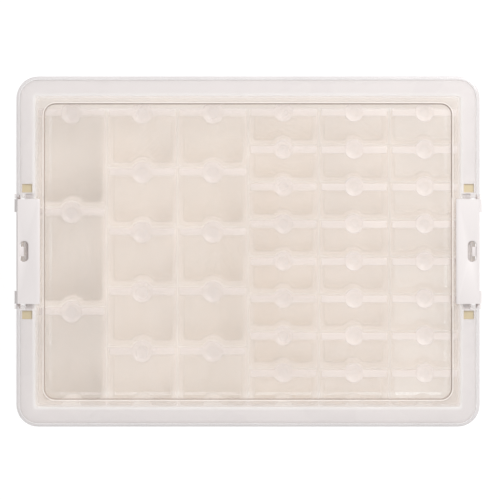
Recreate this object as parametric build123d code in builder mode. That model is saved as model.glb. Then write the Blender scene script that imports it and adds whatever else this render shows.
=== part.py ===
# A bead storage box: nested clear containers with flip caps, standing in six columns
# in a shallow tray, under one clear lid that two side latches hold down.
# Millimetres. X runs along the six columns, +Y is the edge where the caps' thumb tabs
# point, Z is up from the table, and the origin is the middle of the foot ring.
import os
from math import acos, cos, radians, sin, sqrt, tan

from build123d import *

os.makedirs("parts", exist_ok=True)

# The bank of containers
column_kinds = ("large", "medium", "medium", "small", "small", "small")
containers_in_column = {"large": 3, "medium": 5, "small": 8}
column_pitch = 51.9
bank_length = 219.2
container_height = 48.0
column_gap = 0.9
row_gap = 0.6

# A container's cup
cup_wall = 1.2
cup_floor = 1.4
cup_draft_angle = 3.5

# A container's cap: a plate, a raised grip bar, a plug and two hinge straps
cap_thickness = 1.4
cap_overhang = 0.6
cap_corner = 1.2
bar_height = 0.5
bar_width = 3.8
plug_depth = 2.0
plug_clearance = 0.15
strap_width = 6.0
strap_thickness = 0.5
strap_length = 3.0
strap_inset = 4.0

# The thumb tab that bulges from a container's front, and the room for it behind the next
tab_radius = {"large": 8.3, "medium": 8.3, "small": 7.0}
tab_reach = {"large": 4.4, "medium": 4.4, "small": 3.9}
tab_clearance = 0.5

# The tray
tray_wall = 2.0
tray_floor = 2.0
tray_corner = 3.0
tray_draft_angle = 1.0
bank_clearance = 0.7
finger_room = 8.5
rim_ends = 11.4
rim_sides = 12.1
rim_corner = 13.8
rim_thickness = 2.0
rim_skirt_depth = 7.0
rim_skirt_wall = 1.8
foot_height = 2.0
foot_wall = 3.0
foot_corner = 5.0
foot_clearance = 1.5

# The lid
lid_thickness = 2.0
lid_headroom = 1.0
lid_skirt_depth = 5.0
lid_skirt_wall = 1.8
lid_skirt_clearance = 0.4
lid_edge_chamfer = 1.2
recess_depth = 2.0
recess_ends = 7.0
recess_sides = 5.9
recess_corner = 8.0
recess_wall = 1.7

# The latches and their places on the short sides
latch_length = 77.0
latch_end_gap = 1.9
latch_thickness = 2.0
latch_lip_thickness = 1.7
latch_lip_width = 17.2
latch_lift_gap = 0.3
latch_lip_bevel = 0.8
latch_edge_bevel = 1.0
landing_edge = 5.9
slot_length = 15.0
slot_width = 6.0
slot_inset = 5.5
catch_length = 7.0
catch_depth = 3.4
catch_height = 8.0
barrel_length = 9.5
barrel_radius = 2.9
barrel_drop = 15.0
pin_radius = 1.5
pin_length = 3.4
pin_clearance = 0.1
grip_depth = 3.0

# The lugs that carry the latch pins, and the mould windows in the rim beside them
lug_gap = 0.5
lug_thickness = 3.4
lug_margin = 1.3
shelf_depth = 5.0
shelf_thickness = 2.0
notch_clearance = 0.4
window_length = 8.8
window_width = 6.2
window_inset = 0.9
window_edge = 2.6

# Heights up the box
tray_base = foot_height
floor_top = tray_base + tray_floor
cap_top = floor_top + container_height
cup_top = cap_top - bar_height - cap_thickness
panel_bottom = cap_top + lid_headroom
panel_top = panel_bottom + lid_thickness
rim_top = panel_bottom + recess_depth
lid_top = rim_top + lid_thickness

# Half sizes across the box, and the middle of the bank, which stands against the -Y wall
opening_x = len(column_kinds) * column_pitch / 2 + bank_clearance
opening_y = (bank_length + bank_clearance + finger_room) / 2
bank_y = -(finger_room - bank_clearance) / 2
rim_x = opening_x + rim_ends
rim_y = opening_y + rim_sides
skirt_offset = lid_skirt_clearance + lid_skirt_wall
lid_x = rim_x + skirt_offset
lid_y = rim_y + skirt_offset
recess_x = opening_x - recess_ends
recess_y = opening_y - recess_sides

# The latch's place: its half length, the notch in the lid for it, and its pivot line
latch_y = latch_length / 2
notch_y = latch_y + latch_end_gap
tray_notch_y = notch_y + recess_wall + notch_clearance
pivot_x = lid_x - latch_thickness / 2
lip_bottom = panel_top + latch_lift_gap
lip_top = lip_bottom + latch_lip_thickness
pivot_z = lip_bottom - barrel_drop
landing_x = lid_x - landing_edge
shelf_x = opening_x + tray_wall + shelf_depth


def slanted(block, neutral, angle):
    """The block with every upright face leaning in by the angle below the neutral plane."""
    with BuildPart() as drafted:
        add(block)
        draft(drafted.faces().filter_by(Axis.Z, reverse=True), neutral_plane=neutral, angle=-angle)
    return drafted.part


def chord_points(radius, depth):
    """Four points of a three-chord bow on a circle whose centre lies depth behind the wall line."""
    half_angle = acos(depth / radius)
    angles = [half_angle * step for step in (-1, -1 / 3, 1 / 3, 1)]
    return [(radius * sin(angle), radius * cos(angle) - depth) for angle in angles]


def front_bow(kind, inset):
    """The pour channel's section at a container's front, stepped in from the thumb tab's edge."""
    centre_depth = tab_radius[kind] - tab_reach[kind]
    return chord_points(tab_radius[kind] - inset, centre_depth - inset)


def back_bow(kind, inset):
    """The bow pressed in at a container's back, round the tab of the container behind it."""
    depth = tab_radius[kind] - tab_reach[kind] + row_gap + cap_overhang
    radius = tab_radius[kind] + tab_clearance + cap_overhang
    radius /= cos(acos(depth / radius) / 3)
    return chord_points(radius - cap_overhang + inset, depth - cap_overhang + inset)


def cup_outline(kind, length, inset):
    """Corner points of a cup's section, stepped in from the cap's edge: a rectangle with a
    bevelled pour channel standing out at the front and a like channel pressed in at the back."""
    half_x = (column_pitch - column_gap) / 2 - inset
    half_y = length / 2 - inset
    front = [(x, half_y + y) for x, y in front_bow(kind, inset)]
    back = [(-x, y - half_y) for x, y in back_bow(kind, inset)]
    return [*front, (half_x, half_y), (half_x, -half_y), *back, (-half_x, -half_y), (-half_x, half_y)]


def prism(plane, points, height):
    """An upright block on a closed outline."""
    with BuildPart() as block:
        with BuildSketch(plane):
            with BuildLine():
                Polyline(*points, close=True)
            make_face()
        extrude(amount=height)
    return block.part


def make_cup(kind, length, x, y):
    """A drafted clear cup that nests like a tile against its neighbours in the column."""
    mouth = Plane((x, y, cup_top))
    outer = prism(mouth, cup_outline(kind, length, cap_overhang), floor_top - cup_top)
    inner_outline = cup_outline(kind, length, cap_overhang + cup_wall)
    inner = prism(mouth, inner_outline, floor_top + cup_floor - cup_top)
    with BuildPart() as cup:
        add(slanted(outer, mouth, cup_draft_angle))
        add(slanted(inner, mouth, cup_draft_angle), mode=Mode.SUBTRACT)
    return cup.part


def cap_outline(kind, length):
    """The cap's edge as a wire: round thumb tab at the front, bevelled notch at the back."""
    half_x = (column_pitch - column_gap) / 2
    half_y = length / 2
    tab_x = sqrt(tab_radius[kind]**2 - (tab_radius[kind] - tab_reach[kind])**2)
    side_y = half_y - cap_corner
    corner_x = half_x - cap_corner
    with BuildLine() as edge:
        Polyline((tab_x, half_y), (corner_x, half_y), (half_x, side_y), (half_x, -side_y),
                 (corner_x, -half_y), *((-x, y - half_y) for x, y in back_bow(kind, 0)),
                 (-corner_x, -half_y), (-half_x, -side_y), (-half_x, side_y), (-corner_x, half_y),
                 (-tab_x, half_y))
        ThreePointArc((-tab_x, half_y), (0, half_y + tab_reach[kind]), (tab_x, half_y))
    return edge.line


def make_cap(kind, length, x, y):
    """A flip cap: the plate covers the cup's rim, the plug fits its mouth, and two thin
    straps at the back hinge it to the cup's rear wall."""
    half_x = (column_pitch - column_gap) / 2
    half_y = length / 2
    wall_inset = cap_overhang + cup_wall
    plug_inset = wall_inset + plug_clearance + plug_depth * tan(radians(cup_draft_angle))
    plug_x = half_x - plug_inset
    plug_front = half_y - plug_inset
    plug_back = max(y for x, y in back_bow(kind, wall_inset)) + plug_inset - half_y
    plug_middle = (plug_front + plug_back) / 2
    strap_x = half_x - cap_corner - strap_inset
    strap_y = strap_thickness / 2 - half_y
    under = Plane((x, y, cup_top))
    with BuildPart() as cap:
        with BuildSketch(under):
            add(cap_outline(kind, length))
            make_face()
        extrude(amount=cap_thickness)
        with BuildSketch(Plane((x, y + half_y - bar_width / 2, cup_top + cap_thickness))):
            Rectangle(2 * (half_x - cap_corner), bar_width)
        extrude(amount=bar_height)
        with BuildSketch(Plane((x, y + plug_middle, cup_top))):
            Rectangle(2 * plug_x, plug_front - plug_back)
        extrude(amount=-plug_depth)
        with BuildSketch(Plane((x, y + strap_y, cup_top))):
            with Locations((-strap_x, 0), (strap_x, 0)):
                Rectangle(strap_width, strap_thickness)
        extrude(amount=-strap_length)
    return cap.part


def make_latch_seat(side):
    """What carries one latch on the tray: the shelf along the lowered wall, on which the lid's
    landing rests, and a lug at each end with a bevelled nose, bored for the latch's pin."""
    wall_x = opening_x + tray_wall / 2
    inner_y = latch_y + lug_gap
    nose = pin_radius + lug_margin
    bevel = nose / 2
    with BuildPart() as seat:
        with BuildSketch(Plane((side * (wall_x + shelf_x) / 2, 0, panel_bottom))):
            Rectangle(shelf_x - wall_x, 2 * (inner_y + lug_thickness))
        extrude(amount=-shelf_thickness)
        for end in (-1, 1):
            near_face = Plane((0, end * inner_y, 0), x_dir=(1, 0, 0), z_dir=(0, -1, 0))
            with BuildSketch(near_face):
                with BuildLine():
                    Polyline((side * wall_x, pivot_z - nose), (side * (pivot_x + bevel), pivot_z - nose),
                             (side * (pivot_x + nose), pivot_z - bevel),
                             (side * (pivot_x + nose), pivot_z + bevel),
                             (side * (pivot_x + bevel), pivot_z + nose), (side * shelf_x, panel_bottom),
                             (side * wall_x, panel_bottom), close=True)
                make_face()
                with Locations((side * pivot_x, pivot_z)):
                    Circle(pin_radius + pin_clearance, mode=Mode.SUBTRACT)
            extrude(amount=-end * lug_thickness)
    return seat.part


def make_tray():
    """The open tray: drafted walls, foot ring, wide rim with a skirt, the rim and wall cut down
    at each latch, the seats for the latches, and windows in the rim beside them."""
    seats = [make_latch_seat(side) for side in (-1, 1)]
    top = Plane.XY.offset(rim_top)
    with BuildPart() as walls:
        with BuildSketch(top):
            Rectangle(2 * (opening_x + tray_wall), 2 * (opening_y + tray_wall))
        extrude(amount=tray_base - rim_top)
    with BuildPart() as hollow:
        with BuildSketch(top):
            Rectangle(2 * opening_x, 2 * opening_y)
        extrude(amount=floor_top - rim_top)
    notch_in = opening_x - tray_wall
    notch_out = rim_x + rim_skirt_wall
    notch_x = (notch_in + notch_out) / 2
    beyond_wall = opening_x + tray_wall
    window_x = rim_x - window_edge - window_length / 2
    window_y = tray_notch_y + window_inset + window_width / 2
    with BuildPart() as tray:
        add(slanted(walls.part, top, tray_draft_angle))
        fillet(tray.edges().filter_by(Axis.Z, tolerance=3 * tray_draft_angle), radius=tray_corner)
        with BuildSketch(Plane.XY.offset(rim_top)):
            RectangleRounded(2 * rim_x, 2 * rim_y, rim_corner)
        extrude(amount=-rim_thickness)
        with BuildSketch(Plane.XY.offset(rim_top - rim_thickness)):
            RectangleRounded(2 * rim_x, 2 * rim_y, rim_corner)
            offset(amount=-rim_skirt_wall, mode=Mode.SUBTRACT)
        extrude(amount=-rim_skirt_depth)
        with BuildSketch(Plane.XY):
            foot = Rectangle(2 * (recess_x - foot_clearance), 2 * (recess_y - foot_clearance))
            chamfer(foot.vertices(), length=foot_corner)
            offset(amount=-foot_wall, kind=Kind.INTERSECTION, mode=Mode.SUBTRACT)
        extrude(amount=foot_height)
        with BuildSketch(Plane.XY.offset(rim_top)):
            with Locations((-notch_x, 0), (notch_x, 0)):
                Rectangle(notch_out - notch_in, 2 * tray_notch_y)
        extrude(amount=panel_bottom - rim_top, mode=Mode.SUBTRACT)
        with BuildSketch(Plane.XY.offset(panel_bottom)):
            with Locations((-(beyond_wall + notch_out) / 2, 0), ((beyond_wall + notch_out) / 2, 0)):
                Rectangle(notch_out - beyond_wall, 2 * tray_notch_y)
        extrude(amount=-rim_thickness - rim_skirt_depth, mode=Mode.SUBTRACT)
        add(seats)
        add(slanted(hollow.part, top, tray_draft_angle), mode=Mode.SUBTRACT)
        with BuildSketch(Plane.XY.offset(rim_top)):
            with Locations(*((sx * window_x, sy * window_y) for sx in (-1, 1) for sy in (-1, 1))):
                Rectangle(window_length, window_width)
        extrude(amount=-rim_thickness, mode=Mode.SUBTRACT)
    return tray.part


def recess_shape(grow):
    """The lid's recess seen from above: the centre panel and the two landings for the latches."""
    RectangleRounded(2 * (recess_x + grow), 2 * (recess_y + grow), recess_corner + grow)
    Rectangle(2 * landing_x, 2 * (notch_y + grow))


def make_lid():
    """The clear lid: a flange that rests on the tray's rim, a skirt round it, a panel recessed
    by the height of the tray's foot, and a landing at panel level under each latch."""
    notch_out = lid_x + lid_skirt_wall
    with BuildPart() as lid:
        with BuildSketch(Plane.XY.offset(rim_top)):
            RectangleRounded(2 * lid_x, 2 * lid_y, rim_corner + skirt_offset)
        extrude(amount=lid_thickness)
        chamfer(lid.edges().group_by(Axis.Z)[-1], length=lid_edge_chamfer)
        with BuildSketch(Plane.XY.offset(rim_top)):
            RectangleRounded(2 * lid_x, 2 * lid_y, rim_corner + skirt_offset)
            offset(amount=-lid_skirt_wall, mode=Mode.SUBTRACT)
        extrude(amount=-lid_skirt_depth)
        with BuildSketch(Plane.XY.offset(panel_bottom)):
            recess_shape(recess_wall)
        extrude(amount=rim_top - panel_bottom)
        with BuildSketch(Plane.XY.offset(panel_top)):
            recess_shape(0)
        extrude(amount=lid_top - panel_top, mode=Mode.SUBTRACT)
        with BuildSketch(Plane.XY.offset(lid_top)):
            with Locations((-(landing_x + notch_out) / 2, 0), ((landing_x + notch_out) / 2, 0)):
                Rectangle(notch_out - landing_x, 2 * notch_y)
        extrude(amount=-lid_thickness - lid_skirt_depth, mode=Mode.SUBTRACT)
    return lid.part


def make_latch(side):
    """One latch: an arm beside the rim with a lip over the lid's landing, a slot in the lip
    above the catch rib, and two hinge barrels whose pins turn in the tray's lugs."""
    arm_in = lid_x - latch_thickness
    lip_in = lid_x - latch_lip_width
    outward = Plane(origin=(0, 0, 0), x_dir=(side, 0, 0), z_dir=(0, -side, 0))
    grip_half = latch_y - barrel_length
    with BuildPart() as latch:
        with BuildSketch(outward) as section:
            with BuildLine():
                Polyline((lip_in, lip_bottom), (arm_in, lip_bottom), (arm_in, pivot_z),
                         (lid_x, pivot_z), (lid_x, lip_top), (lip_in, lip_top), close=True)
            make_face()
            top_corners = section.vertices().group_by(Axis.Y)[-1].sort_by(Axis.X)
            chamfer(top_corners[0], length=latch_lip_bevel)
            chamfer(top_corners[-1], length=latch_edge_bevel)
        extrude(amount=latch_y, both=True)
        with BuildSketch(Plane.XY.offset(lip_bottom)):
            with Locations((side * (lid_x - slot_inset), 0)):
                SlotOverall(slot_length, slot_width, rotation=90)
        extrude(amount=latch_lip_thickness, mode=Mode.SUBTRACT)
        with BuildSketch(Plane((side * (arm_in - catch_depth / 2), 0, lip_bottom))):
            Rectangle(catch_depth, catch_length)
        extrude(amount=-catch_height)
        with BuildSketch(outward):
            with Locations((pivot_x, pivot_z)):
                Rectangle(2 * latch_thickness, 2 * grip_depth)
        extrude(amount=grip_half, both=True, mode=Mode.SUBTRACT)
        for end in (-1, 1):
            outer_end = Plane((side * pivot_x, end * latch_y, pivot_z), x_dir=(1, 0, 0), z_dir=(0, end, 0))
            with BuildSketch(outer_end):
                Circle(barrel_radius)
            extrude(amount=-barrel_length)
            with BuildSketch(outer_end):
                Circle(pin_radius)
            extrude(amount=pin_length)
    return latch.part


def save(part, name):
    """Labels a finished piece and writes it under the same name."""
    part.label = name
    export_step(part, f"parts/{name}.step")


def make_containers():
    """Every container in its place. A large or medium one is a cup and a cap of its own, and a
    small one holds the two as separate solids of one piece."""
    counts = {"large": 0, "medium": 0, "small": 0}
    for column, kind in enumerate(column_kinds):
        rows = containers_in_column[kind]
        pitch = bank_length / rows
        x = (column - (len(column_kinds) - 1) / 2) * column_pitch
        for row in range(rows):
            counts[kind] += 1
            y = bank_y + bank_length / 2 - (row + 0.5) * pitch
            cup = make_cup(kind, pitch - row_gap, x, y)
            cap = make_cap(kind, pitch - row_gap, x, y)
            if kind == "small":
                save(Compound([cup, cap]), f"small_container_{counts[kind]}")
            else:
                save(cup, f"{kind}_cup_{counts[kind]}")
                save(cap, f"{kind}_cap_{counts[kind]}")


save(make_tray(), "tray")
save(make_lid(), "lid")
save(make_latch(-1), "latch_left")
save(make_latch(1), "latch_right")
make_containers()
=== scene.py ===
# A clear bead storage box seen from straight above: a tray with two white latches, a lid with
# a recessed panel, and thirty-seven nested containers with flip caps.
# Sizes are millimetres until a mesh is made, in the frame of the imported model. The floor, the lamp
# and the camera are in metres.
from math import acos, copysign, cos, radians, sin, sqrt, tan

import bmesh
import bpy
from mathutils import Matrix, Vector


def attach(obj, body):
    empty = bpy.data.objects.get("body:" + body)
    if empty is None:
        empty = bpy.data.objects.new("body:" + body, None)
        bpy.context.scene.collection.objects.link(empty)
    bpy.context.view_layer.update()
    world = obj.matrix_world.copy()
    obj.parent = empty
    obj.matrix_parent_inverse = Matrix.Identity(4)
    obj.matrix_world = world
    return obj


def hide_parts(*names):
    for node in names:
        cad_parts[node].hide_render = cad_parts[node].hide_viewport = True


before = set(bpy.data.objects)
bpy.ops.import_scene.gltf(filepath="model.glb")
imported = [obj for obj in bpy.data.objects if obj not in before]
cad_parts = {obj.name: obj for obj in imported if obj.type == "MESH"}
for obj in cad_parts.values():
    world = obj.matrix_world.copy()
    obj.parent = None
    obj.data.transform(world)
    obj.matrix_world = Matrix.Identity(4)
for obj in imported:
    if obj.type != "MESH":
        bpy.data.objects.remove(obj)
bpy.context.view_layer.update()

scene = bpy.context.scene
millimetre = 0.001

# Steps along the arcs of a frame's corner, a container's corner, and a tab or notch, and the
# sides of a thumb button
frame_corner_steps = 10
tile_corner_steps = 4
bow_steps = 18
button_sides = 36
smooth_angle = radians(38)

# A rounded edge as points (step in from the side, drop from the top), one wide and one fine
wide_edge = ((0.0, 0.8), (0.23, 0.23), (0.8, 0.0))
fine_edge = ((0.0, 0.4), (0.1, 0.1), (0.4, 0.0))

# The bank of containers
column_kinds = ("large", "medium", "medium", "small", "small", "small")
containers_in_column = {"large": 3, "medium": 5, "small": 8}
column_pitch = 51.9
bank_length = 219.2
container_height = 48.0
column_gap = 0.9
row_gap = 0.6

# A container's cup
cup_wall = 1.2
cup_floor = 1.4
cup_corner = 3.0
cup_slope = tan(radians(3.5))

# A container's cap: a plate, a grip bar on both sides of the thumb button, a plug and two hinge straps
cap_thickness = 1.4
cap_overhang = 0.6
cap_corner = 1.6
cap_edge = 0.35
bar_height = 0.5
bar_width = 5.0
bar_setback = 0.9
bar_bevel = 0.25
bar_sink = 0.05
bar_overlap = 0.6
button_radius = {"large": 7.8, "medium": 7.8, "small": 7.1}
plug_depth = 2.0
plug_clearance = 0.15
plug_corner = 3.0
plug_bevel = 0.3
strap_width = 6.0
strap_thickness = 0.5
strap_length = 3.0
strap_x = 20.3
strap_overlap = 0.3

# The thumb tab that bulges from a container's front, and the notch for it behind the next one.
# For each millimetre that an outline steps in, the tab's half width loses tab_taper and the
# notch's gains notch_taper.
tab_radius = {"large": 8.3, "medium": 8.3, "small": 7.0}
tab_reach = {"large": 4.4, "medium": 4.4, "small": 3.9}
tab_clearance = 0.5
tab_taper = 0.45
notch_taper = 0.2

# The tray
tray_wall = 2.0
tray_floor = 2.0
tray_slope = tan(radians(1.0))
tray_corner = 3.0
opening_corner = 2.0
bank_clearance = 0.7
finger_room = 8.5
rim_ends = 11.4
rim_sides = 12.1
rim_corner = 13.8
rim_cut = 1.4
rim_thickness = 2.0
rim_gap = 0.05
rim_skirt_depth = 7.0
rim_skirt_wall = 1.8
foot_height = 2.0
foot_wall = 3.0
foot_corner = 5.0
foot_clearance = 1.5

# The lid
lid_thickness = 2.0
lid_headroom = 1.0
lid_rounding = 1.1
lid_skirt_depth = 5.0
lid_skirt_wall = 1.8
lid_skirt_clearance = 0.4
recess_depth = 2.0
recess_ends = 7.0
recess_sides = 5.9
recess_corner = 8.0
recess_wall = 1.7
landing_edge = 5.9

# The latches
latch_length = 77.0
latch_end_gap = 1.9
latch_thickness = 2.0
latch_lift_gap = 0.3
latch_lip_width = 17.2
latch_lip_bevel = 0.8
brim_highlight_width = 2.4
brim_rounding = 1.1
slot_length = 15.0
slot_width = 6.0
slot_inset = 5.5
slot_rounding = 0.9
barrel_drop = 15.0

# The tray round a latch: lugs, shelf, windows in the rim, and a web under the latch's slot
lug_gap = 0.5
lug_thickness = 3.4
lug_nose = 2.8
lug_root = 0.6
shelf_depth = 5.0
shelf_thickness = 2.0
notch_clearance = 0.4
window_length = 6.2
window_inset = 0.9
window_edge = 2.0
pane_thickness = 0.5
web_edge = 2.8
web_root = 0.4
web_half = 9.5
web_z = (44.0, 45.5)

# Heights up the box
tray_base = foot_height
floor_top = tray_base + tray_floor
cap_top = floor_top + container_height
cup_top = cap_top - bar_height - cap_thickness
plate_top = cup_top + cap_thickness
panel_bottom = cap_top + lid_headroom
panel_top = panel_bottom + lid_thickness
lid_top = panel_top + recess_depth
lid_skirt_bottom = panel_top - lid_skirt_depth
rim_top = panel_top - rim_gap
rim_under = rim_top - rim_thickness
rim_skirt_bottom = panel_top - rim_thickness - rim_skirt_depth
shelf_top = panel_bottom
shelf_bottom = shelf_top - shelf_thickness
pivot_z = panel_top + latch_lift_gap - barrel_drop

# Half sizes across the box, and the middle of the bank, which stands near the -Y wall
opening_x = len(column_kinds) * column_pitch / 2 + bank_clearance
opening_y = (bank_length + bank_clearance + finger_room) / 2
bank_y = -(finger_room - bank_clearance) / 2
tray_x, tray_y = opening_x + tray_wall, opening_y + tray_wall
rim_x, rim_y = opening_x + rim_ends, opening_y + rim_sides
skirt_offset = lid_skirt_clearance + lid_skirt_wall
lid_x, lid_y = rim_x + skirt_offset, rim_y + skirt_offset
lid_corner = rim_corner + skirt_offset
recess_x, recess_y = opening_x - recess_ends, opening_y - recess_sides
foot_x, foot_y = recess_x - foot_clearance, recess_y - foot_clearance
shelf_x = tray_x + shelf_depth
landing_x = lid_x - landing_edge

# Places at the latches
latch_half = latch_length / 2
latch_lip_x = lid_x - latch_lip_width
slot_x = lid_x - slot_inset
pivot_x = lid_x - latch_thickness / 2
lid_notch_y = latch_half + latch_end_gap
tray_notch_y = lid_notch_y + recess_wall + notch_clearance
lug_y = (latch_half + lug_gap, latch_half + lug_gap + lug_thickness)
window_x = (tray_x, rim_x - window_edge)
window_y = (tray_notch_y + window_inset, tray_notch_y + window_inset + window_length)


# The span of a noise value over which colour and gloss drift
drift_start, drift_end = 0.3, 0.7


def ramp(nodes, low, high):
    """A colour ramp from low to high."""
    node = nodes.new("ShaderNodeValToRGB")
    positions = (drift_start, drift_end)
    for element, position, colour in zip(node.color_ramp.elements, positions, (low, high)):
        element.position = position
        element.color = (*colour, 1)
    return node


def noise(nodes, links, vector, scale, detail):
    """A noise texture on the given coordinates."""
    node = nodes.new("ShaderNodeTexNoise")
    node.inputs["Scale"].default_value = scale
    node.inputs["Detail"].default_value = detail
    links.new(vector, node.inputs["Vector"])
    return node


def spread(nodes, links, value, low, high, start=drift_start, end=drift_end):
    """The value's range from start to end carried to the range from low to high."""
    node = nodes.new("ShaderNodeMapRange")
    node.interpolation_type = "SMOOTHSTEP"
    node.inputs["From Min"].default_value = start
    node.inputs["From Max"].default_value = end
    node.inputs["To Min"].default_value = low
    node.inputs["To Max"].default_value = high
    links.new(value, node.inputs["Value"])
    return node


def shader_colour(colour):
    """A colour from 0 to 255 as it looks in a picture, turned into the light value that a shader takes."""
    return tuple(((value / 255 + 0.055) / 1.055) ** 2.4 for value in colour)


def plastic(name, colour, alpha, roughness, drift=0.03, shaded_end_colour=None, shaded_end_alpha=None, grained=False):
    """Moulded plastic, its colours given as they look in a picture. Slow flow marks drift its colour
    and gloss, a fine grain may roughen it, and towards a container's hinge end it may turn to another
    colour and alpha as painted shade."""
    refraction = 1.49
    flow_scale, flow_detail = 22.0, 1.5
    grain_scale, grain_detail, grain_strength, grain_depth = 1400.0, 2.0, 0.1, 0.0001
    gloss_drift = 0.2
    hinge_end, hinge_end_reach = 0.0, 0.55
    material = bpy.data.materials.new(name)
    material.use_nodes = True
    nodes, links = material.node_tree.nodes, material.node_tree.links
    shader = nodes["Principled BSDF"]
    shader.inputs["IOR"].default_value = refraction
    shader.inputs["Alpha"].default_value = alpha
    place = nodes.new("ShaderNodeTexCoord")
    flow = noise(nodes, links, place.outputs["Object"], flow_scale, flow_detail)
    dark, light = [tuple(v * (1 + sign * drift) for v in shader_colour(colour)) for sign in (-1, 1)]
    colours = ramp(nodes, dark, light)
    links.new(flow.outputs["Fac"], colours.inputs["Fac"])
    tint = colours.outputs["Color"]
    # Painted shade: towards the hinge end, at low Y in the piece's box, the colour turns darker and the
    # alpha rises
    if shaded_end_colour is not None:
        axes = nodes.new("ShaderNodeSeparateXYZ")
        links.new(place.outputs["Generated"], axes.inputs["Vector"])
        along = axes.outputs["Y"]
        nearness = spread(nodes, links, along, 1.0, 0.0, hinge_end, hinge_end_reach)
        blend = nodes.new("ShaderNodeMix")
        blend.data_type = "RGBA"
        links.new(nearness.outputs["Result"], blend.inputs["Factor"])
        links.new(tint, blend.inputs["A"])
        blend.inputs["B"].default_value = (*shader_colour(shaded_end_colour), 1)
        tint = blend.outputs["Result"]
        density = spread(nodes, links, along, shaded_end_alpha, alpha, hinge_end, hinge_end_reach)
        links.new(density.outputs["Result"], shader.inputs["Alpha"])
    links.new(tint, shader.inputs["Base Color"])
    gloss = (roughness * (1 - gloss_drift), roughness * (1 + gloss_drift))
    sheen = spread(nodes, links, flow.outputs["Fac"], *gloss)
    links.new(sheen.outputs["Result"], shader.inputs["Roughness"])
    if grained:
        grain = noise(nodes, links, place.outputs["Object"], grain_scale, grain_detail)
        bump = nodes.new("ShaderNodeBump")
        bump.inputs["Strength"].default_value = grain_strength
        bump.inputs["Distance"].default_value = grain_depth
        links.new(grain.outputs["Fac"], bump.inputs["Height"])
        links.new(bump.outputs["Normal"], shader.inputs["Normal"])
    return material


# Materials of the latches
latch_white = plastic("latch_white", (221, 215, 214), alpha=1.0, roughness=0.42, drift=0.012, grained=True)
# A lighter band on the top of the latch lip's rounded inner edge, a painted highlight
latch_brim_painted_highlight = plastic("latch_brim_painted_highlight", (247, 237, 234), alpha=1.0, roughness=0.3, drift=0.012)

# Materials of the lid
lid_clear = plastic("lid_clear", (242, 234, 227), alpha=0.07, roughness=0.16)
lid_border = plastic("lid_border", (228, 221, 219), alpha=0.08, roughness=0.2)
# A light, fairly opaque strip along the top edge of the step round the panel, a painted highlight
lid_painted_highlight = plastic("lid_painted_highlight", (250, 243, 238), alpha=0.6, roughness=0.12)
# The wall of the step round the panel, dark and nearly opaque, a painted shade line
lid_step_painted_shade = plastic("lid_step_painted_shade", (172, 158, 150), alpha=0.8, roughness=0.2)
# The lid's rounded outer edge and skirt, more opaque and greyer than the border, a painted shade line round
# the lid's outline
lid_edge_painted_shade = plastic("lid_edge_painted_shade", (222, 217, 217), alpha=0.7, roughness=0.2)

# Materials of the tray
tray_rim = plastic("tray_rim", (228, 222, 221), alpha=0.6, roughness=0.3, drift=0.012, grained=True)
tray_shell = plastic("tray_shell", (246, 236, 227), alpha=0.46, roughness=0.26)
tray_side = plastic("tray_wall_clear", (216, 206, 197), alpha=0.25, roughness=0.2)
tray_lug = plastic("tray_lug", (240, 231, 229), alpha=0.3, roughness=0.25)
# A tan web seen through each latch's slot, darker than the shell, painted shade
tray_web_painted_shade = plastic("tray_web_painted_shade", (236, 222, 208), alpha=0.45, roughness=0.4)
# Tan, nearly opaque panes in the rim's windows, painted shade seen down through the windows
window_painted_shade = plastic("window_painted_shade", (217, 201, 160), alpha=0.85, roughness=0.35)

# Materials of the caps: the plate and plug, then the raised parts and the button's dish, which are
# milkier in the last columns
clear_part, raised_part, dish_part = range(3)
cap_clear = plastic("cap_clear", (242, 232, 221), alpha=0.1, roughness=0.18)
frosted_cap = [
    plastic("cap_frost", (241, 233, 231), alpha=0.27, roughness=0.3),
    plastic("cap_dish", (227, 221, 222), alpha=0.32, roughness=0.25),
]
milky_cap = [
    plastic("cap_milky", (246, 238, 236), alpha=0.34, roughness=0.3),
    plastic("cap_milky_dish", (234, 228, 227), alpha=0.34, roughness=0.25),
]
first_milky_column = 4

# Materials of the cups: each column's floors have a colour and a darker one at the hinge end as painted
# shade, and the last column's lower floors are paler
cup_side = plastic("cup_wall_clear", (240, 230, 220), alpha=0.14, roughness=0.2)
floor_colours = (
    ((206, 193, 180), (194, 179, 164)),
    ((242, 231, 219), (229, 216, 203)),
    ((239, 228, 214), (225, 211, 195)),
    ((246, 233, 218), (230, 214, 194)),
    ((250, 242, 234), (235, 224, 212)),
    ((255, 252, 249), (252, 246, 240)),
)
column_floors = [
    plastic(f"cup_floor_{column}", colour, alpha=0.17, roughness=0.24, shaded_end_colour=shaded_end_colour, shaded_end_alpha=0.3)
    for column, (colour, shaded_end_colour) in enumerate(floor_colours, start=1)
]
pale_floor = plastic("cup_floor_pale", (255, 252, 250), alpha=0.05, roughness=0.24,
                     shaded_end_colour=(250, 244, 238), shaded_end_alpha=0.12)
first_pale_row = 4


def finish_piece(name, body, nodes, shape, materials):
    """Makes one piece of the object from its shape and sets it on its body."""
    merge_distance, sliver_length = 0.002, 0.001
    mesh = bpy.data.meshes.new(name)
    mesh.from_pydata([Vector(v) * millimetre for v in shape.vertices], [], shape.faces)
    for material in materials:
        mesh.materials.append(material)
    mesh.polygons.foreach_set("material_index", shape.indices)
    skin = bmesh.new()
    skin.from_mesh(mesh)
    bmesh.ops.remove_doubles(skin, verts=skin.verts, dist=merge_distance * millimetre)
    bmesh.ops.dissolve_degenerate(skin, edges=skin.edges, dist=sliver_length * millimetre)
    bmesh.ops.recalc_face_normals(skin, faces=skin.faces)
    skin.to_mesh(mesh)
    skin.free()
    mesh.shade_smooth()
    mesh.set_sharp_from_angle(angle=smooth_angle)
    piece = bpy.data.objects.new(name, mesh)
    scene.collection.objects.link(piece)
    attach(piece, body)
    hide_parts(*nodes)


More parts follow.
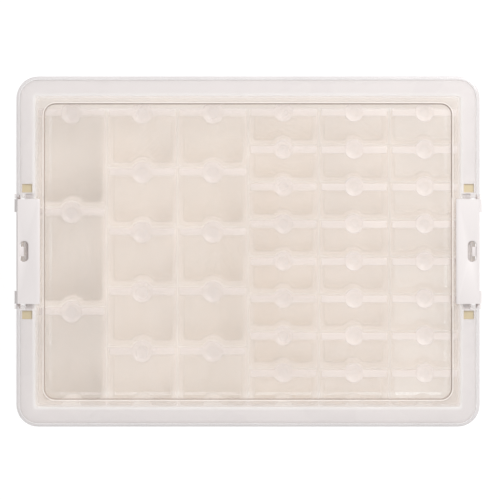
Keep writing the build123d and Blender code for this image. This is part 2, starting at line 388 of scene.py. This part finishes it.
class Shape:
    """Vertices, faces and material numbers of a piece as it grows."""

    def __init__(self):
        self.vertices, self.faces, self.indices = [], [], []

    def ring_stack(self, rings, material_of, skip=()):
        """Skins a stack of rings and closes its ends. material_of gives the material of the strip above
        a level, and skip names the cells (level, place in the ring) that stay open."""
        start, count = len(self.vertices), len(rings[0])
        for ring in rings:
            self.vertices.extend(ring)
        for level in range(len(rings) - 1):
            low, high = start + level * count, start + (level + 1) * count
            for i in range(count):
                if (level, i) not in skip:
                    j = (i + 1) % count
                    self.faces.append((low + i, low + j, high + j, high + i))
                    self.indices.append(material_of(level))
        top = start + (len(rings) - 1) * count
        self.faces.append(tuple(reversed(range(start, start + count))))
        self.indices.append(material_of(0))
        self.faces.append(tuple(range(top, top + count)))
        self.indices.append(material_of(len(rings) - 2))

    def block(self, low, high, material):
        """A plain closed block between two corners."""
        (x0, y0, z0), (x1, y1, z1) = low, high
        rings = [[(x0, y0, z), (x1, y0, z), (x1, y1, z), (x0, y1, z)] for z in (z0, z1)]
        self.ring_stack(rings, lambda level: material)


def arc(centre, radius, start, end, steps):
    """Points on an arc, angles in degrees, both ends included."""
    angles = [radians(start + (end - start) * i / steps) for i in range(steps + 1)]
    return [(centre[0] + radius * cos(a), centre[1] + radius * sin(a)) for a in angles]


def stepped(outline, step, z):
    """An outline of (half x, half y, corner radius) stepped in by step, at height z."""
    return (*(size - step for size in outline), z)


def frame_ring(half_x, half_y, radius, rows):
    """A rounded rectangle, counterclockwise, with the same rows of points on both short sides."""
    inner_x, inner_y = half_x - radius, half_y - radius
    ring = [(half_x, y) for y in rows]
    ring += arc((inner_x, inner_y), radius, 0, 90, frame_corner_steps)
    ring += arc((-inner_x, inner_y), radius, 90, 180, frame_corner_steps)
    ring += [(-half_x, y) for y in reversed(rows)]
    ring += arc((-inner_x, -inner_y), radius, 180, 270, frame_corner_steps)
    ring += arc((inner_x, -inner_y), radius, 270, 360, frame_corner_steps)
    return ring


def frame_rings(stations, rows):
    """Rings for a profile carried round a rounded rectangle. A station is (half x, half y, corner
    radius, z) and the (x, z) that its points take instead in each kind of row; rows are (y, kind)."""
    corners = [None] * (2 * (frame_corner_steps + 1))
    ys, kinds = zip(*rows)
    kinds = [*kinds, *corners, *reversed(kinds), *corners]
    rings = []
    for (half_x, half_y, radius, z), others in stations:
        ring = []
        for (x, y), kind in zip(frame_ring(half_x, half_y, radius, ys), kinds):
            other_x, other_z = others.get(kind, (abs(x), z))
            ring.append((copysign(other_x, x), y, other_z))
        rings.append(ring)
    return rings


def mirrored_rows(rows):
    """Rows from -Y to +Y from those of the +Y half, given from the middle out."""
    return [(-y, kind) for y, kind in reversed(rows)] + rows


def at_tray_notch(short, shelf, bare=None):
    """Where a point of the tray goes beside a latch, as (x, z): with the rim cut short, on the lowered
    shelf, and with the rim bare of its skirt, which is as short unless given."""
    return {"short": short, "shelf": shelf, "bare": bare or short}


def tray_stations():
    """The tray's profile: up its inside, over the rim, down to the foot ring and under it."""
    depth = (rim_top - floor_top) * tray_slope
    low_x, low_y = opening_x - depth, opening_y - depth
    lean = (rim_top - tray_base) * tray_slope
    base_x, base_y = tray_x - lean, tray_y - lean
    rim = (rim_x, rim_y, rim_corner)
    skirt = (rim_x - rim_skirt_wall, rim_y - rim_skirt_wall, rim_corner - rim_skirt_wall)
    foot = (foot_x, foot_y, foot_corner)
    cut_x = shelf_x - rim_cut
    inner_x, outer_x = window_x
    # The inside, with a rounded edge at the floor and at the opening
    stations = []
    for step, height in ((1.6, 0.0), (0.4, 0.35), (0.0, 1.6)):
        stations.append(((low_x - step, low_y - step, opening_corner, floor_top + height), {}))
    for (step, drop), (fine_step, fine_drop), more in zip(wide_edge, fine_edge, (0.0, 0.2, 0.8)):
        place = (opening_x + step, rim_top - drop)
        level = (opening_x + step, opening_y + step, opening_corner + more, rim_top - drop)
        stations.append((level, at_tray_notch(place, (opening_x + fine_step, shelf_top - fine_drop))))
    # The rim's top as far as the windows' inner and outer edges
    stations += [
        ((inner_x, opening_y + 2.5, 4.0, rim_top), at_tray_notch((inner_x, rim_top), (inner_x, shelf_top))),
        ((outer_x, rim_y - 2.2, rim_corner - 2.2, rim_top),
         at_tray_notch((cut_x, rim_top), (cut_x, shelf_top), (outer_x, rim_top))),
    ]
    # The rim's rounded outer edge
    for (step, drop), (fine_step, fine_drop) in zip(reversed(wide_edge), reversed(fine_edge)):
        x = shelf_x - fine_step
        places = at_tray_notch((x, rim_top - fine_drop), (x, shelf_top - fine_drop),
                               (rim_x - step, rim_top - drop))
        stations.append((stepped(rim, step, rim_top - drop), places))
    # The skirt, down its outside, round its lower edge and up its inside
    skirt_foot = rim_skirt_bottom + 0.4
    for outline, step, z, x, lift, bare in (
        (rim, 0.0, skirt_foot, shelf_x, 0.4, (rim_x, rim_under + 0.3)),
        (rim, 0.4, rim_skirt_bottom, shelf_x - 0.1, 0.1, (rim_x - 0.1, rim_under + 0.1)),
        (skirt, -0.4, rim_skirt_bottom, shelf_x - 0.4, 0.0, (rim_x - 0.4, rim_under)),
        (skirt, 0.0, skirt_foot, shelf_x - 0.6, 0.0, (rim_x - 0.8, rim_under)),
        (skirt, 0.0, rim_under - 0.1, cut_x + 0.2, 0.0, (skirt[0], rim_under)),
    ):
        places = at_tray_notch((x, rim_under + lift), (x, shelf_bottom + lift), bare)
        stations.append((stepped(outline, step, z), places))
    # The rim's underside back to the wall
    pane_x = inner_x + 0.2
    stations += [
        ((outer_x, skirt[1] - 0.2, skirt[2] - 0.2, rim_under),
         at_tray_notch((cut_x, rim_under), (cut_x, shelf_bottom), (outer_x, rim_under))),
        ((pane_x, tray_y + 0.5, 4.0, rim_under),
         at_tray_notch((pane_x, rim_under), (pane_x, shelf_bottom))),
        ((tray_x, tray_y, tray_corner, rim_under - 0.3),
         at_tray_notch((tray_x, rim_under - 0.3), (tray_x, shelf_bottom - 0.3))),
    ]
    # The wall's lower edge, the underside and the foot ring
    for step, height in ((0.0, 1.5), (0.4, 0.4), (1.5, 0.0)):
        stations.append(((base_x - step, base_y - step, tray_corner, tray_base + height), {}))
    for step, z in ((0.0, tray_base), (0.0, 0.4), (0.4, 0.0)):
        stations.append((stepped(foot, step, z), {}))
    for step, z in ((foot_wall - 0.4, 0.0), (foot_wall, 0.4), (foot_wall, tray_base)):
        stations.append((stepped(foot, step, z), {}))
    return stations


def make_tray():
    """The tray: floor, drafted walls, wide rim with a skirt cut away at the latches, and foot ring."""
    shell, rim, pane, web, wall, lug = range(6)
    materials = [tray_shell, tray_rim, window_painted_shade, tray_web_painted_shade, tray_side, tray_lug]
    wall_levels, rim_levels = (2, 3, 18), range(4, 18)
    window_top, window_bottom = 6, 16
    rows = mirrored_rows([(tray_notch_y, "shelf"), (tray_notch_y, "short"), (tray_notch_y, "bare"),
                          (tray_notch_y, "rim"), (window_y[0], "rim"), (window_y[1], "rim")])
    rings = frame_rings(tray_stations(), rows)
    count, last = len(rings[0]), len(rows) - 1
    left = len(rows) + 2 * (frame_corner_steps + 1)
    window_cells = (0, last - 1, left, left + last - 1)

    def material_of(level):
        """Clear side walls, the frosted rim, and for the rest the floor and foot ring."""
        return wall if level in wall_levels else rim if level in rim_levels else shell

    def cell_corners(level, i):
        """The vertex numbers round one cell of the tray's skin."""
        low = level * count + i
        return [low, low + 1, low + count + 1, low + count]

    tray = Shape()
    open_cells = {(level, i) for level in (window_top, window_bottom) for i in window_cells}
    tray.ring_stack(rings, material_of, open_cells)
    # Each window gets tan sides and a tan pane, painted shade seen down through it
    for i in window_cells:
        upper, lower = cell_corners(window_top, i), cell_corners(window_bottom, i)[::-1]
        for a in range(4):
            b = (a + 1) % 4
            tray.faces.append((upper[a], upper[b], lower[b], lower[a]))
            tray.indices.append(pane)
        xs, ys = zip(*(tray.vertices[vertex][:2] for vertex in upper))
        tray.block((min(xs), min(ys), rim_under), (max(xs), max(ys), rim_under + pane_thickness), pane)
    root, top, bevel = tray_x - lug_root, shelf_top - 0.4, lug_nose / 2
    lug_outline = [
        (root, pivot_z - lug_nose),
        (pivot_x + bevel, pivot_z - lug_nose),
        (pivot_x + lug_nose, pivot_z - bevel),
        (pivot_x + lug_nose, pivot_z + bevel),
        (pivot_x + bevel, pivot_z + lug_nose),
        (shelf_x, top),
        (root, top),
    ]
    for side in (-1, 1):
        for end in (-1, 1):
            lug_sides = [[(side * x, end * y, z) for x, z in lug_outline] for y in lug_y]
            tray.ring_stack(lug_sides, lambda level: lug)
        # A web under each latch's slot, its tan standing for the shade seen through the slot: painted shade
        web_ends = sorted((side * (tray_x - web_root), side * (lid_x - web_edge)))
        tray.block((web_ends[0], -web_half, web_z[0]), (web_ends[1], web_half, web_z[1]), web)
    finish_piece("tray_moulding", "tray", ["tray"], tray, materials)


def at_lid_notch(thick, bare, short, landing):
    """Where a point of the lid goes beside a latch, as (x, z): border at full depth, bare of its skirt,
    cut short, and on the landing under the latch's lip."""
    return {"thick": thick, "bare": bare, "short": short, "landing": landing}


def lid_stations():
    """The lid's profile: from its panel over the border, round the skirt and back under the panel."""
    recess = (recess_x, recess_y, recess_corner)
    lid = (lid_x, lid_y, lid_corner)
    skirt = (lid_x - lid_skirt_wall, lid_y - lid_skirt_wall, lid_corner - lid_skirt_wall)
    wall = (recess_x + recess_wall, recess_y + recess_wall, recess_corner + recess_wall)

    def flush(x, z):
        """The same place beside the latch, but lowered to the panel on the landing."""
        return at_lid_notch((x, z), (x, z), (x, z), (x, panel_top))

    # The panel's edge and the step up to the border
    stations = [(stepped(recess, 1.2, panel_top), {})]
    for step, z, notch_z in (
        (0.4, panel_top + 0.25, panel_top + 0.05),
        (0.0, panel_top + 0.8, panel_top + 0.1),
        (-0.3, lid_top - 0.5, lid_top - 0.5),
        (-0.6, lid_top - 0.12, lid_top - 0.12),
        (-1.3, lid_top, lid_top),
    ):
        stations.append((stepped(recess, step, z), flush(recess_x - step, notch_z)))
    # The border and its rounded outer edge
    border_x = landing_x - 0.5
    stations.append(((border_x, lid_y - 4.0, lid_corner - 4.0, lid_top), flush(border_x, lid_top)))
    for step, drop, short_step, short_drop in (
        (1.9, 0.0, 0.3, 0.0),
        (lid_rounding, 0.0, 0.2, 0.0),
        (lid_rounding * 0.3, lid_rounding * 0.3, 0.1, 0.1),
        (0.0, lid_rounding, 0.0, 0.4),
    ):
        full, x = (lid_x - step, lid_top - drop), landing_x - short_step
        places = at_lid_notch(full, full, (x, lid_top - short_drop), (x, panel_top - short_drop))
        stations.append((stepped(lid, step, lid_top - drop), places))
    # The skirt, down its outside, round its lower edge and up its inside
    skirt_x, skirt_foot = skirt[0], lid_skirt_bottom + 0.3
    for outline, step, z, bare, short_drop, landing_drop in (
        (lid, 0.0, skirt_foot, (lid_x, panel_top + 0.3), -0.3, 0.6),
        (lid, 0.3, lid_skirt_bottom, (lid_x - 0.3, panel_top), -0.1, 0.8),
        (skirt, -0.3, lid_skirt_bottom, (skirt_x + 0.3, panel_top), 0.0, 1.0),
        (skirt, 0.0, skirt_foot, (skirt_x, panel_top), 0.1, 1.1),
        (skirt, 0.0, panel_top - 0.3, (skirt_x - 0.1, panel_top), 0.2, 1.2),
        (skirt, 0.3, panel_top, (skirt_x - 0.3, panel_top), 0.3, 1.3),
    ):
        places = at_lid_notch((outline[0] - step, z), bare, (landing_x, panel_top - short_drop),
                              (landing_x, panel_top - landing_drop))
        stations.append((stepped(outline, step, z), places))
    # The border's underside, as thick as the panel beside the latch
    full, deep = (landing_x, panel_top), (landing_x, panel_bottom)
    stations += [
        ((landing_x + 0.01, lid_y - 6.0, skirt[2] - 2.0, panel_top),
         at_lid_notch(full, full, (landing_x, panel_top - 0.4), (landing_x, panel_top - 1.4))),
        ((landing_x, lid_y - 6.1, skirt[2] - 2.1, panel_top), at_lid_notch(deep, deep, deep, deep)),
    ]
    # Down the outside of the recess to the panel's underside
    for step, z, notch_step in (
        (-0.4, panel_top, -0.4),
        (0.0, panel_top - 0.4, 0.0),
        (0.0, panel_bottom + 0.6, 0.1),
        (0.2, panel_bottom + 0.2, 0.2),
    ):
        deep = (wall[0] - notch_step, panel_bottom)
        stations.append((stepped(wall, step, z), at_lid_notch(deep, deep, deep, deep)))
    stations.append((stepped(wall, 0.6, panel_bottom), {}))
    return stations


def make_lid():
    """The lid: a recessed panel, a flat border, a skirt, and a landing under each latch."""
    stations = lid_stations()
    rows = mirrored_rows([(lid_notch_y, "landing"), (lid_notch_y, "short"), (lid_notch_y, "bare"),
                          (lid_notch_y, "thick"), (lid_notch_y + recess_wall, "thick"),
                          (lid_notch_y + recess_wall, "rim")])
    clear, border, edge, step, painted_highlight = range(5)
    materials = [lid_clear, lid_border, lid_edge_painted_shade, lid_step_painted_shade, lid_painted_highlight]
    # The profile's bands, each with the level where it ends
    bands = ((1, clear), (4, step), (5, painted_highlight), (7, border), (15, edge), (len(stations) - 2, border))

    def material_of(level):
        """Panel, step with its wall dark as painted shade, a light strip along the step's top edge as
        painted highlight, border, outer edge and skirt greyed as painted shade, and the underside.
        """
        for end, material in bands:
            if level < end:
                return material
        return clear

    lid = Shape()
    lid.ring_stack(frame_rings(stations, rows), material_of)
    finish_piece("lid_moulding", "lid", ["lid"], lid, materials)


def bow(half_width, height, y, direction):
    """A shallow arc standing towards +Y on the line at y, from +X to -X for direction 1."""
    fractions = [1 - 2 * i / bow_steps for i in range(bow_steps + 1)]
    if height <= 0:
        return [(direction * half_width * fraction, y) for fraction in fractions]
    radius = (half_width**2 + height**2) / (2 * height)
    half_angle = acos((radius - height) / radius)
    angles = [half_angle * fraction for fraction in fractions]
    return [(direction * radius * sin(a), y + radius * cos(a) - (radius - height)) for a in angles]


def tile_outline(kind, length, inset, corner, flat=False):
    """A container's outline stepped in by inset, counterclockwise: round thumb tab at the front,
    round notch at the back, and rounded corners. With flat, front and back are straight."""
    sharpest_corner = 0.3
    half_x = (column_pitch - column_gap) / 2 - inset
    half_y = length / 2 - inset
    depth = tab_radius[kind] - tab_reach[kind]
    tab_half = sqrt(tab_radius[kind]**2 - depth**2) - tab_taper * inset
    tab_height = 0.0 if flat else tab_reach[kind]
    notch_depth = depth + row_gap
    notch_radius = tab_radius[kind] + tab_clearance
    notch_half = sqrt(notch_radius**2 - notch_depth**2) + notch_taper * inset
    notch_height = 0.0 if flat else notch_radius - notch_depth
    rounding = max(corner - inset, sharpest_corner)
    inner_x, inner_y = half_x - rounding, half_y - rounding
    ring = arc((inner_x, -inner_y), rounding, 270, 360, tile_corner_steps)
    ring += arc((inner_x, inner_y), rounding, 0, 90, tile_corner_steps)
    ring += bow(tab_half, tab_height, half_y, 1)
    ring += arc((-inner_x, inner_y), rounding, 90, 180, tile_corner_steps)
    ring += arc((-inner_x, -inner_y), rounding, 180, 270, tile_corner_steps)
    ring += bow(notch_half, notch_height, -half_y, -1)
    return ring


def placed(ring, x, y, z):
    """A flat ring moved to its place at height z."""
    return [(px + x, py + y, z) for px, py in ring]


def make_cup(name, body, nodes, kind, length, x, y, floor):
    """A clear cup with rounded edges, a pour channel at its front and a notch at its back."""
    side_material, floor_material = range(2)
    floor_z = floor_top + cup_floor
    outer, inner = cap_overhang, cap_overhang + cup_wall
    low_outer = outer + (cup_top - floor_top) * cup_slope
    low_inner = inner + (cup_top - floor_z) * cup_slope
    profile = [
        (low_outer + 1.3, floor_top),
        (low_outer + 0.35, floor_top + 0.3),
        (low_outer, floor_top + 1.2),
        (outer, cup_top - 0.3),
        (outer + 0.3, cup_top),
        (inner - 0.3, cup_top),
        (inner, cup_top - 0.3),
        (low_inner, floor_z + 1.4),
        (low_inner + 0.4, floor_z + 0.35),
        (low_inner + 1.5, floor_z),
    ]
    rings = [placed(tile_outline(kind, length, inset, cup_corner + inset), x, y, z) for inset, z in profile]
    cup = Shape()
    cup.ring_stack(rings, lambda level: side_material if 1 < level < 7 else floor_material)
    finish_piece(name, body, nodes, cup, [cup_side, floor])


def add_plate(cap, kind, length, x, y):
    """A cap's plate with rounded edges, over its plug."""
    plug_inset = cap_overhang + cup_wall + plug_clearance + plug_depth * cup_slope
    notch_depth = tab_radius[kind] - tab_reach[kind] + row_gap
    plug_back = plug_inset + tab_radius[kind] + tab_clearance - notch_depth
    plug_length = length - plug_inset - plug_back
    plug_bottom = cup_top - plug_depth
    plug_rings = [
        tile_outline(kind, plug_length + 2 * plug_inset, inset, plug_corner + plug_inset, flat=True)
        for inset in (plug_inset + plug_bevel, plug_inset, plug_inset)
    ]
    plug_heights = (plug_bottom, plug_bottom + plug_bevel, cup_top)
    plug_y = y + (plug_back - plug_inset) / 2
    rings = [placed(ring, x, plug_y, z) for ring, z in zip(plug_rings, plug_heights)]
    profile = [
        (cap_edge, cup_top),
        (0.1, cup_top + 0.1),
        (0.0, cup_top + cap_edge),
        (0.0, plate_top - cap_edge),
        (0.1, plate_top - 0.1),
        (cap_edge, plate_top),
    ]
    rings += [placed(tile_outline(kind, length, inset, cap_corner), x, y, z) for inset, z in profile]
    cap.ring_stack(rings, lambda level: raised_part if 3 <= level < 7 else clear_part)


def add_bar(cap, kind, x, front_y, side):
    """The grip bar on one side of the button, sunk a little into the plate and the button."""
    bar_top = plate_top + bar_height
    bar_x = (column_pitch - column_gap) / 2 - cap_corner
    rings = []
    for inset, z in ((0.0, plate_top - bar_sink), (0.0, bar_top - bar_bevel), (bar_bevel, bar_top)):
        low_y, high_y = front_y - bar_setback - bar_width + inset, front_y - bar_setback - inset
        near_x, far_x = x + side * (button_radius[kind] - bar_overlap), x + side * (bar_x - inset)
        rings.append([(near_x, low_y, z), (far_x, low_y, z), (far_x, high_y, z), (near_x, high_y, z)])
    cap.ring_stack(rings, lambda level: raised_part)


def add_button(cap, kind, x, y):
    """The round thumb button: a raised ring with rounded edges round a shallow dish."""
    dish_level = 5
    button, button_top = button_radius[kind], plate_top + bar_height
    circles = (
        (button, plate_top - 1.2),
        (button, button_top - 0.4),
        (button - 0.3, button_top),
        (button - 0.9, button_top),
        (button - 1.4, button_top - 0.2),
        (button - 3.4, plate_top - 0.8),
        (1.0, plate_top - 1.0),
    )
    last_angle = 360 - 360 / button_sides
    rings = [placed(arc((0, 0), radius, 0, last_angle, button_sides - 1), x, y, z) for radius, z in circles]
    cap.ring_stack(rings, lambda level: raised_part if level < dish_level else dish_part)


def make_cap(name, body, nodes, kind, length, x, y, raised_materials):
    """A flip cap: a plate over a plug, a grip bar on both sides of a dished thumb button that stands
    out at the front, and two hinge straps at the back."""
    cap = Shape()
    add_plate(cap, kind, length, x, y)
    front_y, back_y = y + length / 2, y - length / 2
    for side in (-1, 1):
        add_bar(cap, kind, x, front_y, side)
    add_button(cap, kind, x, front_y - (tab_radius[kind] - tab_reach[kind]))
    for side in (-1, 1):
        middle = x + side * strap_x
        cap.block((middle - strap_width / 2, back_y, cup_top - strap_length),
                  (middle + strap_width / 2, back_y + strap_thickness, cup_top + strap_overlap), clear_part)
    finish_piece(name, body, nodes, cap, [cap_clear, *raised_materials])


def make_containers():
    """Every container in its place, column by column."""
    counts = {"large": 0, "medium": 0, "small": 0}
    last_column = len(column_kinds) - 1
    for column, kind in enumerate(column_kinds):
        rows = containers_in_column[kind]
        pitch = bank_length / rows
        x = (column - last_column / 2) * column_pitch
        raised_materials = milky_cap if column >= first_milky_column else frosted_cap
        for row in range(rows):
            counts[kind] += 1
            number = counts[kind]
            y = bank_y + bank_length / 2 - (row + 0.5) * pitch
            body = f"{kind}_container_{number}"
            if kind == "small":
                cup_nodes = cap_nodes = [body]
            else:
                cup_nodes, cap_nodes = [f"{kind}_cup_{number}"], [f"{kind}_cap_{number}"]
            floor = pale_floor if column == last_column and row >= first_pale_row else column_floors[column]
            size_and_place = (kind, pitch - row_gap, x, y)
            make_cup(f"{kind}_cup_shell_{number}", body, cup_nodes, *size_and_place, floor)
            make_cap(f"{kind}_cap_shell_{number}", body, cap_nodes, *size_and_place, raised_materials)


def lip_edges(skin, x, reach_x, reach_y):
    """The edges in the lip's top face that lie within the given reach of x and of the middle."""
    tolerance = 0.1

    def near(vertex):
        place = vertex.co / millimetre
        return place.z > lid_top - tolerance and abs(abs(place.x) - x) < reach_x and abs(place.y) < reach_y

    return [edge for edge in skin.edges if all(near(vertex) for vertex in edge.verts)]


def make_latch(node):
    """A latch with its edges eased, from a copy of its solid."""
    brim_highlight_material = 1
    merge_distance, flat_angle = 0.01, radians(1.0)
    easing_width, easing_angle = 0.35, radians(50)
    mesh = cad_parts[node].data.copy()
    skin = bmesh.new()
    skin.from_mesh(mesh)
    bmesh.ops.remove_doubles(skin, verts=skin.verts, dist=merge_distance * millimetre)
    bmesh.ops.dissolve_limit(skin, angle_limit=flat_angle, verts=skin.verts, edges=skin.edges)
    brim = lip_edges(skin, latch_lip_x + latch_lip_bevel, 0.1, latch_half + 1)
    bmesh.ops.bevel(skin, geom=brim, offset=brim_rounding * millimetre, segments=4, profile=0.5,
                    affect="EDGES", material=-1, clamp_overlap=True)
    skin.normal_update()
    # The upward faces of the lip's rounded inner edge take the lighter band, a painted highlight
    brim_highlight_end = (latch_lip_x + brim_highlight_width) * millimetre
    for face in skin.faces:
        if face.normal.z > 0.1 and abs(face.calc_center_median().x) < brim_highlight_end:
            face.material_index = brim_highlight_material
    slot = lip_edges(skin, slot_x, slot_width / 2 + 0.1, slot_length / 2 + 0.1)
    bmesh.ops.bevel(skin, geom=slot, offset=slot_rounding * millimetre, segments=3, profile=0.5,
                    affect="EDGES", material=-1, clamp_overlap=True)
    skin.to_mesh(mesh)
    skin.free()
    mesh.materials.clear()
    mesh.materials.append(latch_white)
    mesh.materials.append(latch_brim_painted_highlight)
    mesh.name = node + "_eased"
    piece = bpy.data.objects.new(node + "_eased", mesh)
    scene.collection.objects.link(piece)
    easing = piece.modifiers.new("easing", "BEVEL")
    easing.width = easing_width * millimetre
    easing.segments = 3
    easing.limit_method = "ANGLE"
    easing.angle_limit = easing_angle
    easing.use_clamp_overlap = True
    mesh.shade_smooth()
    mesh.set_sharp_from_angle(angle=smooth_angle)
    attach(piece, node)
    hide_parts(node)


def make_floor():
    """A plain white floor, lit a little from beneath like a light table."""
    grey, glow, roughness = 0.15, 0.9, 0.9
    floor_size = 8
    bpy.ops.mesh.primitive_plane_add(size=floor_size)
    floor = bpy.context.object
    floor.name = "floor"
    material = bpy.data.materials.new("floor_white")
    material.use_nodes = True
    shader = material.node_tree.nodes["Principled BSDF"]
    shader.inputs["Base Color"].default_value = (grey, grey, grey, 1)
    shader.inputs["Roughness"].default_value = roughness
    shader.inputs["Emission Color"].default_value = (1, 1, 1, 1)
    shader.inputs["Emission Strength"].default_value = glow
    floor.data.materials.append(material)


def make_light():
    """An even white sky, and one soft lamp towards the upper right of the picture."""
    sky_strength = 0.64
    lamp_size, lamp_energy, lamp_place = 0.7, 14.2, (0.5, 0.68, 1.2)
    world = bpy.data.worlds.new("sky")
    scene.world = world
    world.use_nodes = True
    background = world.node_tree.nodes["Background"]
    background.inputs["Color"].default_value = (1, 1, 1, 1)
    background.inputs["Strength"].default_value = sky_strength
    lamp = bpy.data.lights.new("lamp", "AREA")
    lamp.shape = "DISK"
    lamp.size = lamp_size
    lamp.energy = lamp_energy
    holder = bpy.data.objects.new("lamp", lamp)
    scene.collection.objects.link(holder)
    holder.location = lamp_place
    holder.rotation_euler = (-holder.location).to_track_quat("-Z", "Y").to_euler()
    holder.visible_camera = False


def make_camera():
    """A camera looking straight down from far off, framed as the photograph is."""
    picture_pixels = 500
    pixel_of_middle = (248.0, 251.5)
    pixel_size = 0.000734
    height = 6.0
    sensor = 36.0
    data = bpy.data.cameras.new("camera")
    data.sensor_width = sensor
    data.lens = sensor * height / (picture_pixels * pixel_size)
    camera = bpy.data.objects.new("camera", data)
    scene.collection.objects.link(camera)
    centre = picture_pixels / 2
    aside = (centre - pixel_of_middle[0]) * pixel_size
    along = (pixel_of_middle[1] - centre) * pixel_size
    camera.location = (aside, along, lid_top * millimetre + height)
    scene.camera = camera


make_tray()
make_lid()
make_containers()
for latch in ("latch_left", "latch_right"):
    make_latch(latch)
make_floor()
make_light()
make_camera()
scene.view_settings.view_transform = "Standard"
scene.cycles.transparent_max_bounces = 64
scene.cycles.diffuse_bounces = 6
scene.cycles.use_denoising = True
